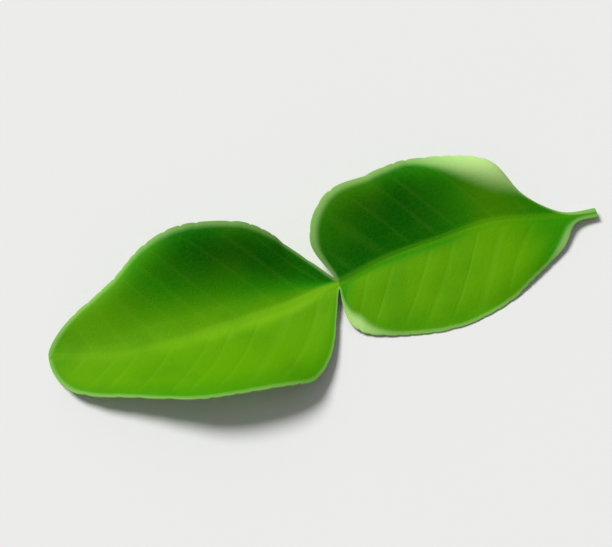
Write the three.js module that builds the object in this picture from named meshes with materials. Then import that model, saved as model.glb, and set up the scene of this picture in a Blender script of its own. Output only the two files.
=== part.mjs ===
// One kaffir lime leaf, picked, lying with its upper face up. Millimetres, +Z up.
//
// The leaf is a rounded blade and a stalk with wings nearly as broad as the blade. The two meet at a
// narrow joint of living tissue that doesn't move, so the whole leaf is one closed solid. The blade's
// tip points to -X and the cut end of the stalk to +X.

import * as THREE from 'three';
import { mergeVertices } from 'three/addons/utils/BufferGeometryUtils.js';

// Driving dimensions
const BLADE_LENGTH = 64.2;
const BLADE_HALF_WIDTH = 24;
const STALK_LENGTH = 60.5; // from the joint to the cut end, wings included
const WING_HALF_WIDTH = 20.8;
const LEAF_THICKNESS = 0.38;
const JOINT_POSITION = [1.85, 1.65]; // puts the origin under the middle of the leaf

// The midrib stands out below the leaf. It is round and thick at the stalk's end and fades to the tip.
const MIDRIB_HALF_WIDTH = { joint: 1.1, tip: 0.4, stalkEnd: 1.15 };
const MIDRIB_DEPTH = { joint: 1.1, tip: 0.15, stalkEnd: 1.2 };

// Each half is a run of stations from the joint outwards, evenly spaced along the midrib.
//   sway, height   where the upper face's midrib lies to the left of the axis, and above the ground
//   outline        the edge at each station, [along the midrib, out from it], as shares of the
//                  length and the half width
//   rise           the slope from the midrib to the edge, in degrees
//   roll           how far the edge is turned down from that slope, in degrees
//   cup            the share of the rise that is missing next to the midrib, which rounds the valley
const BLADE = {
  heading: -1,
  length: BLADE_LENGTH,
  halfWidth: BLADE_HALF_WIDTH,
  midribEnd: 'tip',
  sway: [0, -1.4, -1.8, -2, -1, 2.7],
  height: [2.2, 1.2, 0.9, 0.75, 0.6, 0.45],
  near: {
    outline: [[0.01, 0.065], [0.105, 0.5], [0.18, 0.8], [0.262, 0.9], [0.415, 0.92],
      [0.58, 0.845], [0.75, 0.6], [0.92, 0.345], [1, 0]],
    rise: [0, 9, 24, 24, 4],
    roll: [2, 2, 2, 2, 1],
    cup: 0.45,
  },
  far: {
    outline: [[0.014, 0.065], [0.105, 0.48], [0.18, 0.715], [0.285, 0.885], [0.46, 0.98],
      [0.605, 0.915], [0.75, 0.7], [0.925, 0.45], [1, 0]],
    rise: [22, 41, 39, 25, 5],
    roll: [8, 9, 9, 8, 1],
    cup: 0.85,
  },
};

const WINGED_STALK = {
  heading: 1,
  length: STALK_LENGTH,
  halfWidth: WING_HALF_WIDTH,
  midribEnd: 'stalkEnd',
  sway: [0, 2.4, 3, 3.4, 1.6, -0.2],
  height: [2.2, 2.6, 3.4, 3.9, 2.7, 1.6],
  near: {
    outline: [[-0.01, 0.077], [-0.058, 0.55], [0.01, 0.765], [0.175, 0.925], [0.355, 1.01],
      [0.57, 0.9], [0.73, 0.7], [0.85, 0.42], [0.915, 0.12], [1, 0.056]],
    rise: [2, -6, -9, -9, -3],
    roll: [2, 2, 2, 2, 1],
    cup: 0.15,
  },
  far: {
    outline: [[-0.0115, 0.077], [-0.03, 0.43], [0.055, 0.815], [0.19, 0.875], [0.355, 0.905],
      [0.5, 0.815], [0.635, 0.68], [0.725, 0.335], [0.865, 0.065], [1, 0.056]],
    rise: [27, 42, 44, 35, -2],
    roll: [9, 9, 16, 20, 4],
    cup: 0.2,
  },
};

// How finely the leaf is divided
const BLADE_COLUMNS = 36;
const STALK_COLUMNS = 36;
const MIDRIB_ROWS = 3;
const LEAF_ROWS = 6;
const TIP_STATION = 0.997; // the blade ends just short of a point, so that its tip is blunt
const CUP_SPREAD = 1.3; // how quickly the valley beside the midrib steepens
const ROLL_SHARPNESS = 8; // how closely the roll keeps to the edge

const leafMaterial = new THREE.MeshStandardMaterial({ color: 0x3f8a12, roughness: 0.5, metalness: 0 });

// A smooth line through values given at even stations
function profile(values) {
  const curve = new THREE.SplineCurve(values.map((value, i) => new THREE.Vector2(i, value)));
  return (station) => curve.getPoint(station).y;
}

// The blade's outline runs on to a mirrored point past the tip, which makes the tip round
function outlineCurve(points, isBlade) {
  const [along, out] = points.at(-2);
  const run = isBlade ? [...points, [along, -out]] : points;
  const curve = new THREE.SplineCurve(run.map((point) => new THREE.Vector2(...point)));
  const lastStation = (points.length - 1) / (run.length - 1);
  return (station) => curve.getPoint(station * lastStation);
}

function half(part, side) {
  return {
    outline: outlineCurve(part[side].outline, part.heading < 0),
    rise: profile(part[side].rise),
    roll: profile(part[side].roll),
    cup: part[side].cup,
  };
}

function curves(part) {
  return {
    ...part,
    sway: profile(part.sway),
    height: profile(part.height),
    near: half(part, 'near'),
    far: half(part, 'far'),
  };
}

const blade = curves(BLADE);
const wingedStalk = curves(WINGED_STALK);

// Level direction square to the midrib, to the left of +X
function acrossMidrib(part, station) {
  const step = 0.01;
  const before = Math.max(station - step, 0);
  const after = Math.min(station + step, 1);
  const run = part.length * (after - before);
  const swing = part.heading * (part.sway(after) - part.sway(before));
  return new THREE.Vector2(-swing, run).normalize();
}

// Rows are close over the midrib and towards the edge, and wide between
function distanceOut(row, midribHalfWidth, halfWidth) {
  const quarterTurn = Math.PI / 2;
  if (row <= MIDRIB_ROWS) return midribHalfWidth * row / MIDRIB_ROWS;
  const share = Math.sin(quarterTurn * (row - MIDRIB_ROWS) / LEAF_ROWS);
  return midribHalfWidth + (halfWidth - midribHalfWidth) * share;
}

// Position of the upper face, and the thickness under it, at a station and a row.
// Rows count out from the midrib: below zero is the near half, above zero the far half.
function leafPoint(part, station, row) {
  const side = row < 0 ? part.near : part.far;
  const edge = side.outline(station);
  const halfWidth = edge.y * part.halfWidth;
  const endShare = THREE.MathUtils.smoothstep(station, 0, 1);
  const taper = (sizes) => THREE.MathUtils.lerp(sizes.joint, sizes[part.midribEnd], endShare);
  const midribHalfWidth = Math.min(taper(MIDRIB_HALF_WIDTH), 0.85 * halfWidth);
  const out = distanceOut(Math.abs(row), midribHalfWidth, halfWidth);
  const share = Math.min(out / halfWidth, 1);

  const cupped = 1 - side.cup * (1 - share) ** CUP_SPREAD;
  const turnedDown = side.roll(station) * share ** ROLL_SHARPNESS;
  const slope = THREE.MathUtils.degToRad(side.rise(station) * cupped - turnedDown);
  const across = acrossMidrib(part, station).multiplyScalar(Math.sign(row) * out * Math.cos(slope));
  const sweep = part.heading * (edge.x - station) * part.length * share;
  const level = Math.max(part.height(station) + out * Math.sin(slope), LEAF_THICKNESS);

  const bulge = Math.sqrt(Math.max(1 - (out / midribHalfWidth) ** 2, 0));
  return {
    x: part.heading * part.length * station + sweep + across.x,
    y: part.sway(station) + across.y,
    top: level,
    bottom: Math.max(level - LEAF_THICKNESS - taper(MIDRIB_DEPTH) * bulge, 0),
  };
}

// Columns run from the tip, at -1, over the joint, at 0, to the stalk's end, at 1.
// They close up towards the joint and towards both ends.
function stationOf(column) {
  const even = Math.abs(column);
  const eased = (1 - Math.cos(Math.PI * even)) / 2;
  return (even + eased) / 2;
}

function leafGeometry() {
  const columns = BLADE_COLUMNS + STALK_COLUMNS;
  const rows = MIDRIB_ROWS + LEAF_ROWS;
  const geometry = new THREE.BoxGeometry(1, 1, 1, columns, 2 * rows, 1);
  const position = geometry.attributes.position;
  for (let i = 0; i < position.count; i += 1) {
    const column = Math.round((position.getX(i) + 0.5) * columns) - BLADE_COLUMNS;
    const row = Math.round(position.getY(i) * 2 * rows);
    const onBlade = column < 0;
    const point = onBlade
      ? leafPoint(blade, stationOf(column / BLADE_COLUMNS) * TIP_STATION, row)
      : leafPoint(wingedStalk, stationOf(column / STALK_COLUMNS), row);
    const z = position.getZ(i) > 0 ? point.top : point.bottom;
    position.setXYZ(i, point.x + JOINT_POSITION[0], point.y + JOINT_POSITION[1], z);
  }
  geometry.deleteAttribute('uv');
  geometry.deleteAttribute('normal');
  const closed = mergeVertices(geometry, 1e-4);
  closed.computeVertexNormals();
  return closed;
}

const leaf = new THREE.Mesh(leafGeometry(), leafMaterial);
leaf.name = 'kaffir_lime_leaf';

const part = new THREE.Group();
part.add(leaf);

export default part;
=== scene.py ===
# A kaffir lime leaf, picked, lying with its upper face up on a pale table.
#
# The leaf is a rounded blade and a stalk with wings nearly as broad as the blade, which meet at a
# narrow joint. It is all one sheet of tissue: the blade's tip points to -X and the cut end of the
# stalk to +X. The leaf's lengths are in millimetres until a vertex is placed, the stage's in metres.

import math
from functools import lru_cache

import bmesh
import bpy
from bpy.props import FloatProperty, FloatVectorProperty, PointerProperty
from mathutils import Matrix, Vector, noise


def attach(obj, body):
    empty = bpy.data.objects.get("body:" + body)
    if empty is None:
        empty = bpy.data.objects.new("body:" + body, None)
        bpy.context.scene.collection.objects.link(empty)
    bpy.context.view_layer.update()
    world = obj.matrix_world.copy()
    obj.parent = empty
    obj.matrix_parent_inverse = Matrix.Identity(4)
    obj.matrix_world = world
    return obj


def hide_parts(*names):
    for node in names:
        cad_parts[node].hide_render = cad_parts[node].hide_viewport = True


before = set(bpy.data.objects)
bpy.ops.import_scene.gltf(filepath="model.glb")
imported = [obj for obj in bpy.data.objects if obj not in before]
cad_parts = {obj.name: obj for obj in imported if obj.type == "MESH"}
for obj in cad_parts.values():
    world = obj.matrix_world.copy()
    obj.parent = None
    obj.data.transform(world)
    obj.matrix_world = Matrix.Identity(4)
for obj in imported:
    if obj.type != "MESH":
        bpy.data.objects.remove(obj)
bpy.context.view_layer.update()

bl_info = {
    "name": "Kaffir lime leaf",
    "version": (1, 0, 0),
    "blender": (4, 5, 0),
    "location": "View3D > Sidebar > Lime leaf",
    "description": "Grows a kaffir lime leaf with its winged stalk and lays it on a table",
    "category": "Object",
}

MM = 0.001
LEAF_NODE = "kaffir_lime_leaf"


# The leaf's form ------------------------------------------------------------------------------

# Puts the origin under the middle of the leaf
JOINT_POSITION = Vector((1.85, 1.65, 0))

# Each half is a run of stations from the joint outwards, evenly spaced along the midrib.
#   sway, height   where the upper face's midrib lies to the left of the axis, and above the ground
#   outline        the edge at each station, (along the midrib, out from it), as shares of the
#                  length and the half width
#   rise           the slope from the midrib to the edge, in degrees
#   roll           how far the edge is turned down from that slope, in degrees
#   cup            the share of the rise that is missing next to the midrib, which rounds the valley
BLADE = {
    "heading": -1,
    "sway": (0, -1.4, -1.8, -2, -1, 2.7),
    "height": (2.2, 1.2, 0.9, 0.75, 0.6, 0.45),
    "near": {
        "outline": ((0.01, 0.065), (0.105, 0.5), (0.18, 0.8), (0.262, 0.9), (0.415, 0.92),
                    (0.58, 0.845), (0.75, 0.6), (0.92, 0.345), (1, 0)),
        "rise": (0, 9, 24, 24, 4),
        "roll": (2, 2, 2, 2, 1),
        "cup": 0.45,
    },
    "far": {
        "outline": ((0.014, 0.065), (0.105, 0.48), (0.18, 0.715), (0.285, 0.885), (0.46, 0.98),
                    (0.605, 0.915), (0.75, 0.7), (0.925, 0.45), (1, 0)),
        "rise": (22, 41, 39, 25, 5),
        "roll": (8, 9, 9, 8, 1),
        "cup": 0.85,
    },
}

WINGED_STALK = {
    "heading": 1,
    "sway": (0, 2.4, 3, 3.4, 1.6, -0.2),
    "height": (2.2, 2.6, 3.4, 3.9, 2.7, 1.6),
    "near": {
        "outline": ((-0.01, 0.077), (-0.058, 0.55), (0.01, 0.765), (0.175, 0.925), (0.355, 1.01),
                    (0.57, 0.9), (0.73, 0.7), (0.85, 0.42), (0.915, 0.12), (1, 0.056)),
        "rise": (2, -6, -9, -9, -3),
        "roll": (2, 2, 2, 2, 1),
        "cup": 0.15,
    },
    "far": {
        "outline": ((-0.0115, 0.077), (-0.03, 0.43), (0.055, 0.815), (0.19, 0.875), (0.355, 0.905),
                    (0.5, 0.815), (0.635, 0.68), (0.725, 0.335), (0.865, 0.065), (1, 0.056)),
        "rise": (27, 42, 44, 35, -2),
        "roll": (9, 9, 16, 20, 4),
        "cup": 0.2,
    },
}

TIP_STATION = 0.997  # the blade ends just short of a point, so that its tip is blunt
CUP_SPREAD = 1.3  # how quickly the valley beside the midrib steepens
ROLL_SHARPNESS = 8  # how closely the roll keeps to the edge

# The midrib stands out below. It is round and thick at the stalk's end and fades to the tip.
MIDRIB_HALF_WIDTH = {"joint": 1.1, "tip": 0.4, "stalk_end": 1.15}
MIDRIB_DEPTH = {"joint": 1.1, "tip": 0.15, "stalk_end": 1.2}
MIDRIB_SHARE = 0.85  # the most of a half's width that the midrib takes
KEEL_WIDTH = 1.25  # the keel below, in half widths of the midrib

# Above the midrib runs a low ridge between two furrows. Their widths, and how far out the furrows
# lie, are in the midrib's half widths.
RIDGE_HEIGHT = 0.07
RIDGE_WIDTH = 0.5
FURROW_DEPTH = 0.05
FURROW_WIDTH = 0.6
FURROW_OUT = 1.1

# The midrib is swollen where blade and stalk meet, with a crease round it
SWELLING_DEPTH = 0.35
SWELLING_LENGTH = 1.5
SWELLING_WIDTH = 1.3
CREASE_DEPTH = 0.4
CREASE_LENGTH = 0.35

# The margin
RIM_SHARE = 0.3  # the most of the lamina's width that the rounded rim takes
TEETH_SHARPNESS = 16  # how closely the teeth keep to the margin
TEETH_FROM = 3  # there are no teeth where a half is narrower than this
TEETH_FULL = 7  # and they are full where it is broader than this
BLUNT_FROM = 0.97  # past this station the blade's rows close up on its round tip
FLOOR_BEND = 0.35  # how gently the leaf bends where it comes down to the table

# Slow waves that keep the teeth and the veins uneven: height, frequency, and shift to each side
TOOTH_WANDER = ((0.6, 0.17, 1.3), (0.3, 0.41, -1))
VEIN_WANDER = ((0.16, 0.23, 1), (0.1, 0.61, 2))
VEIN_BEND = 0.006  # how much the side veins curve towards the tip on their way out

# Waves of the lamina: how often they come along X and Y, and the layer of noise that they are from
SWELL_WAVES = (0.055, 0.075, 3.1)
RIPPLE_WAVES = (0.16, 0.13, 8.4)
RIPPLE_SHARE = 0.35  # the ripples of the margin, as a share of the swells

# How pale the margin is, partly its own pale green and partly a painted highlight where it rolls over:
# the width and the strength of the pale line
PALE_SHEEN_LINE = {"near": (1.1, 0.23), "far": (1.8, 0.26)}
WING_LINE_GAIN = 1.2  # how much stronger the line is on the winged stalk
# Where it is broader there, as painted highlights on the rolled margin: the stations where this starts,
# is fullest and ends, the added width and the added strength
HIGHLIGHT_PLACES = {
    "near": ((0.02, 0.15, 0.31, 2.1, 0.5), (0.7, 0.8, 0.9, 1.2, 0.15)),
    "far": ((0.43, 0.64, 0.81, 7.8, 0.58),),
}

# How finely the leaf is divided
BLADE_COLUMNS = 200
STALK_COLUMNS = 180
MIDRIB_ROWS = 6
LAMINA_ROWS = 42
RIM_ROWS = 4
HALF_ROWS = MIDRIB_ROWS + LAMINA_ROWS + RIM_ROWS


def smoothstep(low, high, value):
    share = min(max((value - low) / (high - low), 0), 1)
    return share * share * (3 - 2 * share)


def hump(distance, width):
    """A smooth bump of height 1 at distance 0 that fades over the width."""
    return math.exp(-((distance / width) ** 2))


def smooth_curve(points):
    """A curve through points, at a share of the way from 0 to 1."""
    last = len(points) - 1

    def at(share):
        place = min(max(share, 0), 1) * last
        i = min(int(place), last - 1)
        w = place - i
        start, end = points[i], points[i + 1]
        leaving = (end - points[max(i - 1, 0)]) / 2
        arriving = (points[min(i + 2, last)] - start) / 2
        cubic = 2 * (start - end) + leaving + arriving
        square = 3 * (end - start) - 2 * leaving - arriving
        return ((cubic * w + square) * w + leaving) * w + start

    return at


def outline_curve(points, is_blade):
    """The edge of a half. The blade's runs on to a mirrored point past the tip, so the tip is round."""
    run = [Vector(point) for point in points]
    if is_blade:
        run.append(Vector((run[-2].x, -run[-2].y)))
    last_station = (len(points) - 1) / (len(run) - 1)
    curve = smooth_curve(run)
    return lambda station: curve(station * last_station)


class LeafPart:
    """The blade or the winged stalk: a stretch of midrib with a half of the leaf on each side."""

    def __init__(self, form, length, half_width, end):
        self.heading = form["heading"]
        self.length = length
        self.half_width = half_width
        self.end = end
        self.sway = smooth_curve(form["sway"])
        self.height = smooth_curve(form["height"])
        self.outline = {}
        self.rise = {}
        self.roll = {}
        self.cup = {}
        for side in ("near", "far"):
            self.outline[side] = outline_curve(form[side]["outline"], self.heading < 0)
            self.rise[side] = smooth_curve(form[side]["rise"])
            self.roll[side] = smooth_curve(form[side]["roll"])
            self.cup[side] = form[side]["cup"]

    def taper(self, sizes, station):
        return sizes["joint"] + (sizes[self.end] - sizes["joint"]) * smoothstep(0, 1, station)

    def across(self, station):
        """Level direction square to the midrib, to the left of +X."""
        step = 0.01
        before, after = max(station - step, 0), min(station + step, 1)
        run = self.length * (after - before)
        swing = self.heading * (self.sway(after) - self.sway(before))
        return Vector((-swing, run)).normalized()

    @lru_cache(maxsize=None)
    def section(self, station, side):
        """What all the points of a half's cross-section share."""
        edge = self.outline[side](station)
        half_width = edge.y * self.half_width
        return {
            "foot": Vector((self.heading * self.length * station, self.sway(station), 0)),
            "height": self.height(station),
            "sweep": self.heading * (edge.x - station) * self.length,
            "bluntness": smoothstep(BLUNT_FROM, TIP_STATION, station) if self.end == "tip" else 0,
            "across": self.across(station),
            "half_width": half_width,
            "midrib": min(self.taper(MIDRIB_HALF_WIDTH, station), MIDRIB_SHARE * half_width),
            "depth": self.taper(MIDRIB_DEPTH, station),
            "rise": self.rise[side](station),
            "roll": self.roll[side](station),
        }

    def point(self, station, row, shape):
        """The upper face at a station and a row, before the skins part, with what the skins need."""
        side, hand = ("near", -1) if row < 0 else ("far", 1)
        sec = self.section(station, side)
        rim_radius = min(shape.thickness / 2, RIM_SHARE * (sec["half_width"] - sec["midrib"]))
        out, roundness = distance_out(abs(row), sec["midrib"], sec["half_width"], rim_radius)
        share = min(out / sec["half_width"], 1)
        rim = sec["half_width"] - out

        cupped = 1 - self.cup[side] * (1 - share) ** CUP_SPREAD
        slope = math.radians(sec["rise"] * cupped - sec["roll"] * share**ROLL_SHARPNESS)
        swept = sec["sweep"] * (share + (1 - share) * sec["bluntness"])
        along = sec["foot"].x + swept
        trimmed = out - scallop(along, hand, share, sec["half_width"], shape)
        place = sec["foot"] + sec["across"].to_3d() * hand * trimmed * math.cos(slope)
        place.x += swept

        veins = vein_phase(along, out, hand, shape)
        relief = lamina_relief(place, out, share, veins, shape)
        relief += midrib_relief(self, station, out, sec["midrib"])
        height = sec["height"] + trimmed * math.sin(slope) + relief
        place.z = soft_floor(height, shape.thickness)
        return {
            "place": place + JOINT_POSITION,
            "roundness": roundness,
            "out": hand * out,
            "rim": rim,
            "phase": veins,
            "keel": sec["depth"] * keel_profile(out, sec["midrib"]) + joint_swelling(self, station, out),
            # Painted shade, and the pale margin with its painted highlights
            "ripe": painted_shade_tone(self, station, hand * share),
            "pale": pale_margin_and_sheen(self, station, side, rim),
        }


def distance_out(row, midrib, half_width, rim_radius):
    """How far a row lies from the midrib, and how much of its thickness the leaf has there."""
    if row <= MIDRIB_ROWS:
        return midrib * row / MIDRIB_ROWS, 1
    flat_edge = half_width - rim_radius
    if row <= MIDRIB_ROWS + LAMINA_ROWS:
        return midrib + (flat_edge - midrib) * (row - MIDRIB_ROWS) / LAMINA_ROWS, 1
    turn = math.pi / 2 * (row - MIDRIB_ROWS - LAMINA_ROWS) / RIM_ROWS
    return flat_edge + rim_radius * math.sin(turn), math.cos(turn)


def soft_floor(height, lowest):
    """Keeps a height above the lowest, with a gentle bend where it comes down to it."""
    above = height - lowest
    return lowest + (above + math.sqrt(above * above + FLOOR_BEND * FLOOR_BEND)) / 2


def wander(waves, along, hand):
    """How far a sum of slow waves strays at a place along the leaf."""
    return sum(height * math.sin(rate * along + shift * hand) for height, rate, shift in waves)


def scallop(along, hand, share, half_width, shape):
    """How far the margin is drawn in between its shallow round teeth. Narrow places have none."""
    tooth = along / shape.tooth_pitch + wander(TOOTH_WANDER, along, hand)
    notch = 1 - abs(math.sin(math.pi * tooth))
    presence = smoothstep(TEETH_FROM, TEETH_FULL, half_width)
    return shape.tooth_depth * notch**3 * share**TEETH_SHARPNESS * presence


def vein_phase(along, out, hand, shape):
    """A number that is whole on each side vein. The veins leave the midrib towards the blade's tip."""
    lean = 1 / math.tan(shape.vein_angle)
    foot = along + out * lean + VEIN_BEND * out * out
    stagger = 0.25 * hand  # the veins of the two halves leave the midrib in turn
    return foot / shape.vein_pitch + wander(VEIN_WANDER, foot, hand) + stagger


def wave_height(waves, place):
    """The height of soft waves at a place, from about -1 to 1."""
    x_rate, y_rate, layer = waves
    return noise.noise(Vector((place.x * x_rate, place.y * y_rate, layer)))


def lamina_relief(place, out, share, phase, shape):
    """The swells of the lamina, the grooves over its side veins and the bulges between them."""
    clear = smoothstep(0.8, 6, out)
    from_vein = abs(phase - round(phase))
    inner = 1 - smoothstep(0.72, 0.97, share)
    bulge = 0.5 - 0.5 * math.cos(2 * math.pi * from_vein)
    groove = 0.4 * hump(from_vein * shape.vein_pitch, 0.8) * smoothstep(1, 3, out)
    ripple = RIPPLE_SHARE * wave_height(RIPPLE_WAVES, place) * share * share
    swell = shape.swell * clear * (wave_height(SWELL_WAVES, place) + ripple)
    return swell + shape.quilting * inner * (bulge * clear - groove)


def midrib_relief(part, station, out, midrib):
    """The height of the ridge along the upper side of the midrib and of the furrows beside it."""
    ridge = RIDGE_HEIGHT * hump(out, RIDGE_WIDTH * midrib)
    furrow = FURROW_DEPTH * hump(out - FURROW_OUT * midrib, FURROW_WIDTH * midrib)
    fade = 1 - 0.7 * smoothstep(0, 1, station) if part.end == "tip" else 1
    return fade * (ridge - furrow)


def joint_swelling(part, station, out):
    """How much deeper the midrib is near the joint than it would be without its swelling."""
    distance = station * part.length
    swelling = SWELLING_DEPTH * hump(distance, SWELLING_LENGTH)
    crease = CREASE_DEPTH * hump(distance, CREASE_LENGTH)
    return (swelling - crease) * hump(out, SWELLING_WIDTH)


def keel_profile(out, midrib):
    """The depth of the midrib below the leaf, as a share, with soft flanks."""
    spread = out / (KEEL_WIDTH * midrib)
    return max(1 - spread * spread, 0) ** 0.75


def blade_painted_shade(station, reach):
    """How much shade is painted on the blade, and how much deeper green it is at its tip.

    The painted shade is deep towards its far edge, away from the light, fades towards its tip and gives
    way to a painted highlight beside its midrib.
    """
    deep = 2 * smoothstep(0, 0.35 + 0.9 * station, reach)
    shade_fade_to_tip = 1 - 0.85 * smoothstep(0.45, 0.85, station)
    # Lighter beside the midrib: partly its own paler green, partly a painted highlight
    light_streak = 0.55 * hump(reach + 0.08, 0.08) * (1 - smoothstep(0.4, 0.75, station))
    tip = 0.4 * smoothstep(0.87, 0.97, station)
    return deep * shade_fade_to_tip - light_streak, tip


def stalk_painted_shade(station, reach):
    """How much shade is painted on the winged stalk, and how much more at its ends.

    The painted shade is deep on the far half up to its middle, away from the light, and a full green at
    both ends.
    """
    deep = 2 * smoothstep(-0.2, 0.12, reach)
    shade_fade_to_end = 1 - 0.75 * smoothstep(0.36, 0.62, station)
    base = 0.8 * (1 - smoothstep(0.02, 0.12, station))
    stalk = 0.9 * smoothstep(0.6, 0.8, station)
    return deep * shade_fade_to_end, base + stalk


def painted_shade_tone(part, station, reach):
    """How much shade is painted on the upper face at a reach from -1, the near edge, to 1, the far one.

    0 is the unshaded green, 1 a full green and 2 the deepest painted shade. Below 0 it is lighter, as the
    midrib is, with a painted highlight.
    """
    tone = blade_painted_shade if part.end == "tip" else stalk_painted_shade
    ripe, ends = tone(station, reach)
    # Painted shade along the near edge, where the leaf rolls down
    near_edge_shade = 0.45 * smoothstep(0.6, 0.95, -reach)
    return ripe + (ends + near_edge_shade) * (1 - ripe / 2)


def pale_margin_and_sheen(part, station, side, rim):
    """How pale the margin is, partly its own pale green and partly a painted highlight: a thin line, but
    for some broad painted highlights on the winged stalk.
    """
    width, strength = PALE_SHEEN_LINE[side]
    if part.end == "stalk_end":
        strength *= WING_LINE_GAIN
        for start, full, end, added, sheen in HIGHLIGHT_PLACES[side]:
            near_by = smoothstep(start, full, station) - smoothstep(full, end, station)
            width += added * near_by
            strength += sheen * near_by
    return min(strength, 1) * (1 - smoothstep(0.35 * width, width, rim))


def station_of(column):
    """Columns close up towards the joint, at 0, and towards both ends, at -1 and 1."""
    even = abs(column)
    eased = (1 - math.cos(math.pi * even)) / 2
    return (even + eased) / 2


# Mesh -----------------------------------------------------------------------------------------

COLOUR_LAYERS = ("out", "rim", "phase", "ripe", "pale")


def lay_out_grid(bm, spot_layer, shape):
    """A flat grid, bent to the leaf's upper face. Returns what the skins need at each vertex."""
    blade = LeafPart(BLADE, shape.blade_length, shape.blade_half_width, "tip")
    stalk = LeafPart(WINGED_STALK, shape.stalk_length, shape.wing_half_width, "stalk_end")
    columns = BLADE_COLUMNS + STALK_COLUMNS
    bmesh.ops.create_grid(bm, x_segments=columns, y_segments=2 * HALF_ROWS, size=0.5)
    layers = {name: bm.verts.layers.float.new(name) for name in COLOUR_LAYERS}
    spots = []
    for vertex in bm.verts:
        column = round((vertex.co.x + 0.5) * columns) - BLADE_COLUMNS
        row = round(vertex.co.y * 2 * HALF_ROWS)
        if column < 0:
            spot = blade.point(station_of(column / BLADE_COLUMNS) * TIP_STATION, row, shape)
        else:
            spot = stalk.point(station_of(column / STALK_COLUMNS), row, shape)
        from_tip = (column + BLADE_COLUMNS + 0.5) / RIM_ROWS
        if from_tip < 1:
            spot["roundness"] *= math.sin(math.pi / 2 * from_tip)
        vertex.co = spot["place"] * MM
        for name, layer in layers.items():
            vertex[layer] = spot[name]
        vertex[spot_layer] = len(spots)
        spots.append(spot)
    bm.normal_update()
    for vertex in bm.verts:
        spots[vertex[spot_layer]]["normal"] = vertex.normal.copy()
    return spots


def part_skins(bm, spots, spot_layer, shape):
    """Gives the sheet its thickness: the lower skin sinks and both round off at the margin."""
    upper_layer = bm.verts.layers.float.new("upper")
    made = bmesh.ops.extrude_face_region(bm, geom=bm.faces[:])
    raised = {item for item in made["geom"] if isinstance(item, bmesh.types.BMVert)}
    half = shape.thickness / 2
    for vertex in bm.verts:
        spot = spots[vertex[spot_layer]]
        roundness = spot["roundness"]
        is_upper = vertex in raised
        inward = half * (1 - roundness if is_upper else 1 + roundness)
        vertex.co -= spot["normal"] * inward * MM
        if not is_upper:
            vertex.co.z -= spot["keel"] * roundness * MM
        vertex.co.z = max(vertex.co.z, 0)
        vertex[upper_layer] = is_upper


def settle_order(bm):
    """Sorts the faces by their corners, because an extrusion makes its walls in no fixed order."""
    bm.verts.index_update()
    corners = {face: sorted(vertex.index for vertex in face.verts) for face in bm.faces}
    places = {face: place for place, face in enumerate(sorted(corners, key=corners.get))}
    bm.faces.sort(key=places.get)


def close_seams(bm):
    """Joins the skins along the margin and turns the faces outwards."""
    bmesh.ops.remove_doubles(bm, verts=bm.verts, dist=1e-7)
    bmesh.ops.recalc_face_normals(bm, faces=bm.faces)
    settle_order(bm)
    for face in bm.faces:
        face.smooth = True


def make_object(bm, name, material):
    mesh = bpy.data.meshes.new(name)
    bm.to_mesh(mesh)
    bm.free()
    mesh.materials.append(material)
    made = bpy.data.objects.new(name, mesh)
    bpy.context.scene.collection.objects.link(made)
    return made


# Materials ------------------------------------------------------------------------------------

# The skin's patterns and the depths of its bumps
GLAND_SIZE = 0.75
GLAND_DEPTH = 0.02
NET_SIZE = 1.5
NET_DEPTH = 0.012
VEIN_DEPTH = 0.08
GRAIN_SIZE = 0.5
GRAIN_HEIGHT = 0.012
YOUNG_PATCH_SIZE = 26
DEEP_PATCH_SIZE = 9
UNDER_PATCH_SIZE = 14
GLOSS_PATCH_SIZE = 5
TABLE_PATCH_SIZE = 60


def srgb(red, green, blue):
    """A colour as it looks on a screen, from 0 to 255, as the linear values that shaders use."""
    def linear(value):
        share = value / 255
        return share / 12.92 if share <= 0.04045 else ((share + 0.055) / 1.055) ** 2.4
    return linear(red), linear(green), linear(blue)


class Link:
    """A node's output. Python's operators on it add the Math nodes for them."""

    def __init__(self, tree, socket):
        self.tree = tree
        self.socket = socket

    def math(self, operation, *values):
        node = self.tree.node("ShaderNodeMath", {"operation": operation}, dict(enumerate(values)))
        return node["Value"]

    def __add__(self, other):
        return self.math("ADD", self, other)

    def __sub__(self, other):
        return self.math("SUBTRACT", self, other)

    def __rsub__(self, other):
        return self.math("SUBTRACT", other, self)

    def __mul__(self, other):
        return self.math("MULTIPLY", self, other)

    def __abs__(self):
        return self.math("ABSOLUTE", self)

    __radd__ = __add__
    __rmul__ = __mul__


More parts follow.
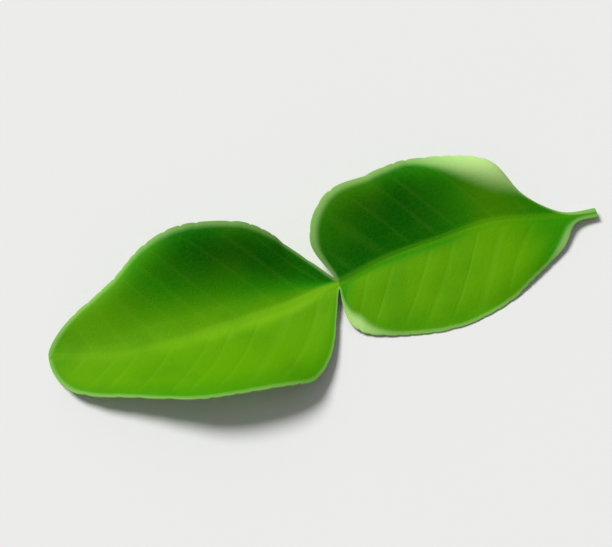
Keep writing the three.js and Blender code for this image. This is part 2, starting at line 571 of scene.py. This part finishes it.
class ShaderTree:
    """The nodes of a material or of the world."""

    def __init__(self, owner):
        owner.use_nodes = True
        self.nodes = owner.node_tree.nodes
        self.links = owner.node_tree.links
        self.nodes.clear()

    def node(self, kind, settings=None, inputs=None):
        """Adds a node with its own settings, then the values or links of its sockets."""
        made = self.nodes.new(kind)
        for name, value in (settings or {}).items():
            setattr(made, name, value)
        for name, value in (inputs or {}).items():
            socket = self.socket(made, name)
            if isinstance(value, Link):
                self.links.new(value.socket, socket)
            elif hasattr(socket.default_value, "__len__") and len(value) < len(socket.default_value):
                socket.default_value = (*value, 1)
            else:
                socket.default_value = value
        return {output.identifier: Link(self, output) for output in made.outputs}

    @staticmethod
    def socket(node, name):
        if isinstance(name, int):
            return node.inputs[name]
        return next(s for s in node.inputs if name in (s.identifier, s.name))

    def attribute(self, name):
        return self.node("ShaderNodeAttribute", {"attribute_name": name})["Fac"]

    def fade(self, value, low, high, start=0, end=1):
        """Goes smoothly from start to end as the value goes from low to high."""
        numbers = {"Value": value, "From Min": low, "From Max": high, "To Min": start, "To Max": end}
        return self.node("ShaderNodeMapRange", {"interpolation_type": "SMOOTHSTEP"}, numbers)["Result"]

    def paint(self, colour, *coats):
        """Lays coats over a colour, each a factor and a colour. A factor counts from 0 to 1."""
        for factor, coat in coats:
            inputs = {"Factor_Float": factor, "A_Color": colour, "B_Color": coat}
            colour = self.node("ShaderNodeMix", {"data_type": "RGBA"}, inputs)["Result_Color"]
        return colour

    def noise(self, coordinates, size, detail=2):
        """Soft noise from 0 to 1 with features of about that size in millimetres."""
        inputs = {"Vector": coordinates, "Scale": 1 / (size * MM), "Detail": detail}
        return self.node("ShaderNodeTexNoise", {}, inputs)["Fac"]

    def cells(self, coordinates, size, feature="F1"):
        """The distance to the middle, or with another feature to the edge, of cells of that size."""
        inputs = {"Vector": coordinates, "Scale": 1 / (size * MM)}
        return self.node("ShaderNodeTexVoronoi", {"feature": feature}, inputs)["Distance"]

    def surface(self, inputs):
        """Ends a material with a surface of those finishes."""
        shader = self.node("ShaderNodeBsdfPrincipled", {}, inputs)["BSDF"]
        self.node("ShaderNodeOutputMaterial", {}, {"Surface": shader})


def leaf_marks(tree, place, shape):
    """Where the skin's veins, oil glands and edges are, each from 0 to 1."""
    from_midrib = abs(tree.attribute("out"))
    rim = tree.attribute("rim")
    phase = tree.attribute("phase")
    from_vein = abs(phase - phase.math("ROUND", phase)) * shape.vein_pitch
    return {
        "midrib": tree.fade(from_midrib, 0.45, 1.25, 1, 0),
        "beside_midrib": tree.fade(from_midrib, 0.8, 3.6, 1, 0),
        "vein": tree.fade(from_vein, 0, 1, 1, 0) * tree.fade(from_midrib, 0.8, 2.5),
        "net": tree.fade(tree.cells(place, NET_SIZE, "DISTANCE_TO_EDGE"), 0.02, 0.12, 1, 0),
        "glands": tree.fade(tree.cells(place, GLAND_SIZE), 0.12, 0.3, 1, 0),
        "inner": tree.fade(rim, 0.8, 5),
        "edge": tree.fade(rim, 0.1, 0.3, 1, 0),
    }


def upper_colour(tree, place, marks, colours):
    """Fresh to deep green in soft patches, the deep green being painted shade, with faint veins and a
    pale margin that is partly a painted highlight.
    """
    ripe = tree.attribute("ripe")
    young_patches = tree.fade(tree.noise(place, YOUNG_PATCH_SIZE), 0.4, 0.7)
    deep_patches = tree.fade(tree.noise(place, DEEP_PATCH_SIZE, 4), 0.45, 0.75)
    return tree.paint(
        colours.young,
        # Beside the midrib its own paler green, and where the painted shade is below 0 a painted
        # highlight
        (marks["beside_midrib"] * 0.2 - ripe, colours.midrib),
        # Painted shade: a full and then the deepest green where the leaf faces away from the light
        (ripe, colours.ripe),
        (ripe - 1, colours.deep),
        (young_patches * 0.25, colours.young_patch),
        (deep_patches * 0.25, colours.deep_patch),
        (marks["vein"] * marks["inner"] * 0.07, colours.vein),
        (marks["net"] * 0.03 + marks["glands"] * 0.06, colours.vein),
        (marks["midrib"] * 0.2, colours.midrib),
        # The pale margin: partly its own pale green, partly painted highlights where it rolls over
        (tree.attribute("pale"), colours.lip),
    )


def lower_colour(tree, place, marks, colours):
    """A dull pale green with paler veins."""
    patches = tree.fade(tree.noise(place, UNDER_PATCH_SIZE, 3), 0.3, 0.7)
    return tree.paint(
        colours.underside,
        (patches, colours.under_patch),
        (marks["vein"] * 0.5 + marks["net"] * 0.15, colours.under_vein),
        (marks["midrib"] * 0.7, colours.under_vein),
    )


def leaf_bump(tree, place, marks, upper):
    """Fine grain and sunken glands. The side veins are sunken above and stand out below."""
    height = (
        marks["glands"] * -GLAND_DEPTH
        + marks["net"] * -NET_DEPTH
        + marks["vein"] * marks["inner"] * (0.5 - upper) * VEIN_DEPTH
        + tree.noise(place, GRAIN_SIZE, 3) * GRAIN_HEIGHT
    )
    inputs = {"Height": height, "Strength": 1, "Distance": MM}
    return tree.node("ShaderNodeBump", {}, inputs)["Normal"]


def leaf_material(colours, shape):
    material = bpy.data.materials.new("leaf_skin")
    tree = ShaderTree(material)
    place = tree.node("ShaderNodeTexCoord")["Object"]
    upper = tree.fade(tree.attribute("upper"), 0.35, 0.65)
    marks = leaf_marks(tree, place, shape)
    skin = tree.paint(
        lower_colour(tree, place, marks, colours),
        (upper, upper_colour(tree, place, marks, colours)),
        (marks["edge"] * 0.28, colours.margin),
    )
    roughness = 0.62 - upper * 0.1 + tree.noise(place, GLOSS_PATCH_SIZE) * 0.08
    bump = leaf_bump(tree, place, marks, upper)
    tree.surface({"Base Color": skin, "Roughness": roughness, "Normal": bump, "Specular IOR Level": 0.05})
    return material


def table_material(colour):
    material = bpy.data.materials.new("pale_table")
    tree = ShaderTree(material)
    place = tree.node("ShaderNodeTexCoord")["Object"]
    grey = (0.7, 0.7, 0.7)
    tone = tree.paint(colour, (tree.noise(place, TABLE_PATCH_SIZE) * 0.05, grey))
    tree.surface({"Base Color": tone, "Roughness": 0.75, "Specular IOR Level": 0.2})
    return material


# Stage ----------------------------------------------------------------------------------------

SENSOR_WIDTH = 36  # of a full-frame camera, in millimetres
NEAREST_SEEN = 0.01  # the camera's near clipping distance


def direction(azimuth, elevation):
    """Unit vector towards a place seen at that azimuth, where 0 is -Y, and elevation."""
    level = math.cos(elevation)
    return Vector((math.sin(azimuth) * level, -math.cos(azimuth) * level, math.sin(elevation)))


def place_at(name, data, towards, location=(0, 0, 0)):
    """Adds a camera or a lamp that looks back from a direction."""
    holder = bpy.data.objects.new(name, data)
    holder.location = location
    holder.rotation_euler = towards.to_track_quat("Z", "Y").to_euler()
    bpy.context.scene.collection.objects.link(holder)
    return holder


def add_camera(stage):
    camera = bpy.data.cameras.new("camera")
    camera.lens = stage.lens
    camera.sensor_width = SENSOR_WIDTH
    camera.clip_start = NEAREST_SEEN
    towards = direction(stage.camera_azimuth, stage.camera_elevation)
    location = Vector(stage.camera_target) + towards * stage.camera_distance
    bpy.context.scene.camera = place_at("camera", camera, towards, location)


def add_key_light(stage):
    sun = bpy.data.lights.new("key", "SUN")
    sun.energy = stage.key_strength
    sun.angle = stage.key_softness
    place_at("key", sun, direction(stage.key_azimuth, stage.key_elevation))


def add_world(stage):
    """A plain pale room that gives a weak even light."""
    world = bpy.data.worlds.new("pale_room")
    bpy.context.scene.world = world
    tree = ShaderTree(world)
    rays = tree.node("ShaderNodeLightPath")
    seen = rays["Is Camera Ray"] + rays["Is Glossy Ray"] + rays["Is Transmission Ray"]
    light = tree.node("ShaderNodeBackground", {}, {"Color": (1, 1, 1), "Strength": stage.room_light})
    wall = tree.node("ShaderNodeBackground", {}, {"Color": stage.table_colour, "Strength": 1})
    inputs = {0: seen, 1: light["Background"], 2: wall["Background"]}
    both = tree.node("ShaderNodeMixShader", {}, inputs)["Shader"]
    tree.node("ShaderNodeOutputWorld", {}, {"Surface": both})


def add_table(stage):
    bm = bmesh.new()
    bmesh.ops.create_grid(bm, x_segments=1, y_segments=1, size=stage.table_size / 2)
    table = make_object(bm, "table", table_material(stage.table_colour))


# Add-on ---------------------------------------------------------------------------------------


def mm_property(name, description, default, lowest=0):
    return FloatProperty(name=name, description=f"{description}, mm", default=default, min=lowest)


def metre_property(name, description, default):
    return FloatProperty(name=name, description=description, default=default, unit="LENGTH")


def angle_property(name, description, degrees):
    radians = math.radians(degrees)
    return FloatProperty(name=name, description=description, default=radians, subtype="ANGLE")


def colour_property(name, description, default):
    return FloatVectorProperty(
        name=name, description=description, default=default, subtype="COLOR", min=0, max=1
    )


class LeafShape(bpy.types.PropertyGroup):
    blade_length: mm_property("Blade length", "From the joint to the tip", 64.2)
    blade_half_width: mm_property("Blade half width", "From the midrib", 24)
    stalk_length: mm_property("Stalk length", "From the joint to the cut end, wings included", 60.5)
    wing_half_width: mm_property("Wing half width", "From the midrib", 20.8)
    thickness: mm_property("Thickness", "Of the lamina", 0.38, lowest=0.05)
    vein_pitch: mm_property("Vein pitch", "Between side veins", 6.5, lowest=1)
    vein_angle: angle_property("Vein angle", "Between the midrib and its side veins", 57)
    quilting: mm_property("Quilting", "Rise between side veins", 0.05)
    swell: mm_property("Swell", "Height of the lamina's gentle waves", 0.8)
    tooth_pitch: mm_property("Tooth pitch", "Between the margin's teeth", 3.6, lowest=0.5)
    tooth_depth: mm_property("Tooth depth", "Of the margin's notches", 0.28)


class LeafColours(bpy.types.PropertyGroup):
    young: colour_property("Young", "Upper face where it is a fresh yellow green", srgb(94, 160, 0))
    # Painted shade: the full and the deepest green where the leaf faces away from the light
    ripe: colour_property("Half shade", "Upper face where it is a full green", srgb(36, 138, 0))
    deep: colour_property("Deep", "Upper face where it is deepest", srgb(17, 107, 0))
    young_patch: colour_property("Young patch", "Yellower patches of the upper face", srgb(102, 164, 0))
    deep_patch: colour_property("Deep patch", "Deeper patches of the upper face", srgb(44, 128, 4))
    vein: colour_property("Vein", "Side veins from above", srgb(128, 184, 40))
    midrib: colour_property("Midrib", "Midrib from above", srgb(122, 184, 14))
    margin: colour_property("Margin", "The thin edge", srgb(162, 208, 108))
    # The margin's own pale green together with the painted highlights on it
    lip: colour_property("Lip", "The pale border of the upper face", srgb(204, 246, 150))
    underside: colour_property("Underside", "Lower face", srgb(104, 148, 62))
    under_patch: colour_property("Underside patch", "Paler parts of the lower face", srgb(122, 164, 80))
    under_vein: colour_property("Underside vein", "Veins and midrib from below", srgb(158, 190, 112))


class StageSettings(bpy.types.PropertyGroup):
    camera_azimuth: angle_property("Camera azimuth", "0 looks along +Y", -18)
    camera_elevation: angle_property("Camera elevation", "Above the table", 60)
    camera_distance: metre_property("Camera distance", "From the target", 0.335)
    camera_target: FloatVectorProperty(
        name="Camera target",
        description="Middle of the view",
        default=(-0.00446, 0.00558, 0.003),
        unit="LENGTH",
    )
    lens: FloatProperty(
        name="Lens", description="Focal length, mm", default=90.84, subtype="DISTANCE_CAMERA"
    )
    key_azimuth: angle_property("Key azimuth", "Where the main light is", 220)
    key_elevation: angle_property("Key elevation", "Of the main light", 52)
    key_strength: FloatProperty(name="Key strength", description="Of the main light, W/m2", default=3)
    key_softness: angle_property("Key softness", "Angular size of the main light", 24)
    room_light: FloatProperty(name="Room light", description="Strength of the even light", default=0.22)
    table_size: metre_property("Table size", "Side of the table", 2.4)
    table_colour: colour_property("Table colour", "Table and room", srgb(238, 238, 237))


class LEAF_OT_grow(bpy.types.Operator):
    """Grow the leaf with its veins, keel and thin margin in place of the plain solid"""

    bl_idname = "leaf.grow"
    bl_label = "Grow leaf"

    def execute(self, context):
        shape = context.scene.leaf_shape
        bm = bmesh.new()
        spot_layer = bm.verts.layers.int.new("spot")
        spots = lay_out_grid(bm, spot_layer, shape)
        part_skins(bm, spots, spot_layer, shape)
        close_seams(bm)
        leaf = make_object(bm, "leaf", leaf_material(context.scene.leaf_colours, shape))
        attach(leaf, "root")
        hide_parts(LEAF_NODE)
        return {"FINISHED"}


class LEAF_OT_set_stage(bpy.types.Operator):
    """Lay the pale table and add the light and the camera"""

    bl_idname = "leaf.set_stage"
    bl_label = "Set stage"

    def execute(self, context):
        stage = context.scene.leaf_stage
        add_table(stage)
        add_world(stage)
        add_key_light(stage)
        add_camera(stage)
        context.scene.view_settings.view_transform = "Standard"
        return {"FINISHED"}


class LEAF_PT_maker(bpy.types.Panel):
    bl_label = "Lime leaf"
    bl_idname = "LEAF_PT_maker"
    bl_space_type = "VIEW_3D"
    bl_region_type = "UI"
    bl_category = "Lime leaf"

    def draw(self, context):
        for operator in OPERATORS:
            self.layout.operator(operator.bl_idname)


GROUPS = {"leaf_shape": LeafShape, "leaf_colours": LeafColours, "leaf_stage": StageSettings}
OPERATORS = (LEAF_OT_grow, LEAF_OT_set_stage)


def register():
    for cls in (*GROUPS.values(), *OPERATORS, LEAF_PT_maker):
        bpy.utils.register_class(cls)
    for name, group in GROUPS.items():
        setattr(bpy.types.Scene, name, PointerProperty(type=group))


def unregister():
    for name in GROUPS:
        delattr(bpy.types.Scene, name)
    for cls in reversed((*GROUPS.values(), *OPERATORS, LEAF_PT_maker)):
        bpy.utils.unregister_class(cls)


def main():
    register()
    bpy.ops.leaf.grow()
    bpy.ops.leaf.set_stage()


if __name__ == "__main__":
    main()
